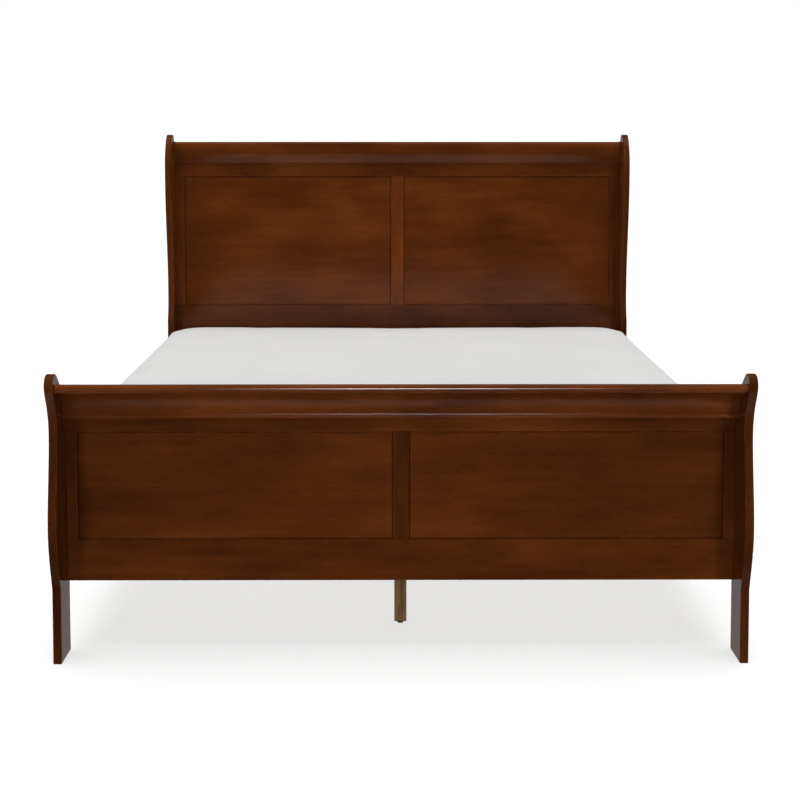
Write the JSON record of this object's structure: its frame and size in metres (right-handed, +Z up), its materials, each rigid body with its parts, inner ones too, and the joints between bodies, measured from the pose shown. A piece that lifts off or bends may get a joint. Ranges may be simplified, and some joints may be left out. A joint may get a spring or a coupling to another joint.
{
  "type": "sleigh bed",
  "caption": "Sleigh bed with scrolled board posts, framed two-panel head and foot boards, bolted side rails, slats on centre legs and a mattress.",
  "frame": {"origin": "on the floor, at the middle of the bed's footprint", "axes": "+Z up, +Y from the footboard to the headboard, +X to the right of someone standing at the foot"},
  "size_m": [1.594, 2.329, 1.197],
  "materials": {
    "cherry_lacquer": "semi-gloss lacquer over brown-cherry stain",
    "cherry_veneer": "semi-gloss lacquer over brown-cherry veneer with fine horizontal grain",
    "slat_pine": "planed, unfinished",
    "leg_stain": "matt brown stain",
    "zinc_steel": "zinc plated",
    "black_plastic": "moulded",
    "mattress_ticking": "plain white stretch knit over foam"
  },
  "bodies": {
    "bed_frame": {"footboard_post_left": "cherry_lacquer", "footboard_post_right": "cherry_lacquer", "footboard_crest": "cherry_lacquer", "footboard_top_rail": "cherry_lacquer", "footboard_bottom_rail": "cherry_lacquer", "footboard_stile_left": "cherry_lacquer", "footboard_stile_right": "cherry_lacquer", "footboard_mullion": "cherry_lacquer", "footboard_panel_left": "cherry_veneer", "footboard_panel_right": "cherry_veneer", "headboard_post_left": "cherry_lacquer", "headboard_post_right": "cherry_lacquer", "headboard_crest": "cherry_lacquer", "headboard_top_rail": "cherry_lacquer", "headboard_bottom_rail": "cherry_lacquer", "headboard_stile_left": "cherry_lacquer", "headboard_stile_right": "cherry_lacquer", "headboard_mullion": "cherry_lacquer", "headboard_panel_left": "cherry_veneer", "headboard_panel_right": "cherry_veneer", "side_rail_left": "cherry_lacquer", "slat_cleat_left": "slat_pine", "foot_corner_angle_left": "zinc_steel", "head_joint_plate_left": "zinc_steel", "foot_bolt_left_lower": "zinc_steel", "head_bolt_left_lower": "zinc_steel", "foot_bolt_left_upper": "zinc_steel", "head_bolt_left_upper": "zinc_steel", "side_rail_right": "cherry_lacquer", "slat_cleat_right": "slat_pine", "foot_corner_angle_right": "zinc_steel", "head_joint_plate_right": "zinc_steel", "foot_bolt_right_lower": "zinc_steel", "head_bolt_right_lower": "zinc_steel", "foot_bolt_right_upper": "zinc_steel", "head_bolt_right_upper": "zinc_steel", "slat_1": "slat_pine", "support_leg_1": "leg_stain", "slat_2": "slat_pine", "support_leg_2": "leg_stain", "slat_3": "slat_pine", "support_leg_3": "leg_stain", "slat_4": "slat_pine", "support_leg_4": "leg_stain", "slat_5": "slat_pine", "support_leg_5": "leg_stain"},
    "mattress": {"mattress": "mattress_ticking"},
    "glide_1": {"leveling_glide_1": "black_plastic"},
    "glide_2": {"leveling_glide_2": "black_plastic"},
    "glide_3": {"leveling_glide_3": "black_plastic"},
    "glide_4": {"leveling_glide_4": "black_plastic"},
    "glide_5": {"leveling_glide_5": "black_plastic"}
  },
  "joints": [
    {"name": "mattress_lift", "type": "slide", "parent": "bed_frame", "child": "mattress", "axis": [0, 0, 1], "range_m": [0, 0.45]},
    {"name": "glide_1_thread", "type": "slide", "parent": "bed_frame", "child": "glide_1", "axis": [0, 0, -1], "range_m": [0, 0.01]},
    {"name": "glide_2_thread", "type": "slide", "parent": "bed_frame", "child": "glide_2", "axis": [0, 0, -1], "range_m": [0, 0.01]},
    {"name": "glide_3_thread", "type": "slide", "parent": "bed_frame", "child": "glide_3", "axis": [0, 0, -1], "range_m": [0, 0.01]},
    {"name": "glide_4_thread", "type": "slide", "parent": "bed_frame", "child": "glide_4", "axis": [0, 0, -1], "range_m": [0, 0.01]},
    {"name": "glide_5_thread", "type": "slide", "parent": "bed_frame", "child": "glide_5", "axis": [0, 0, -1], "range_m": [0, 0.01]}
  ]
}
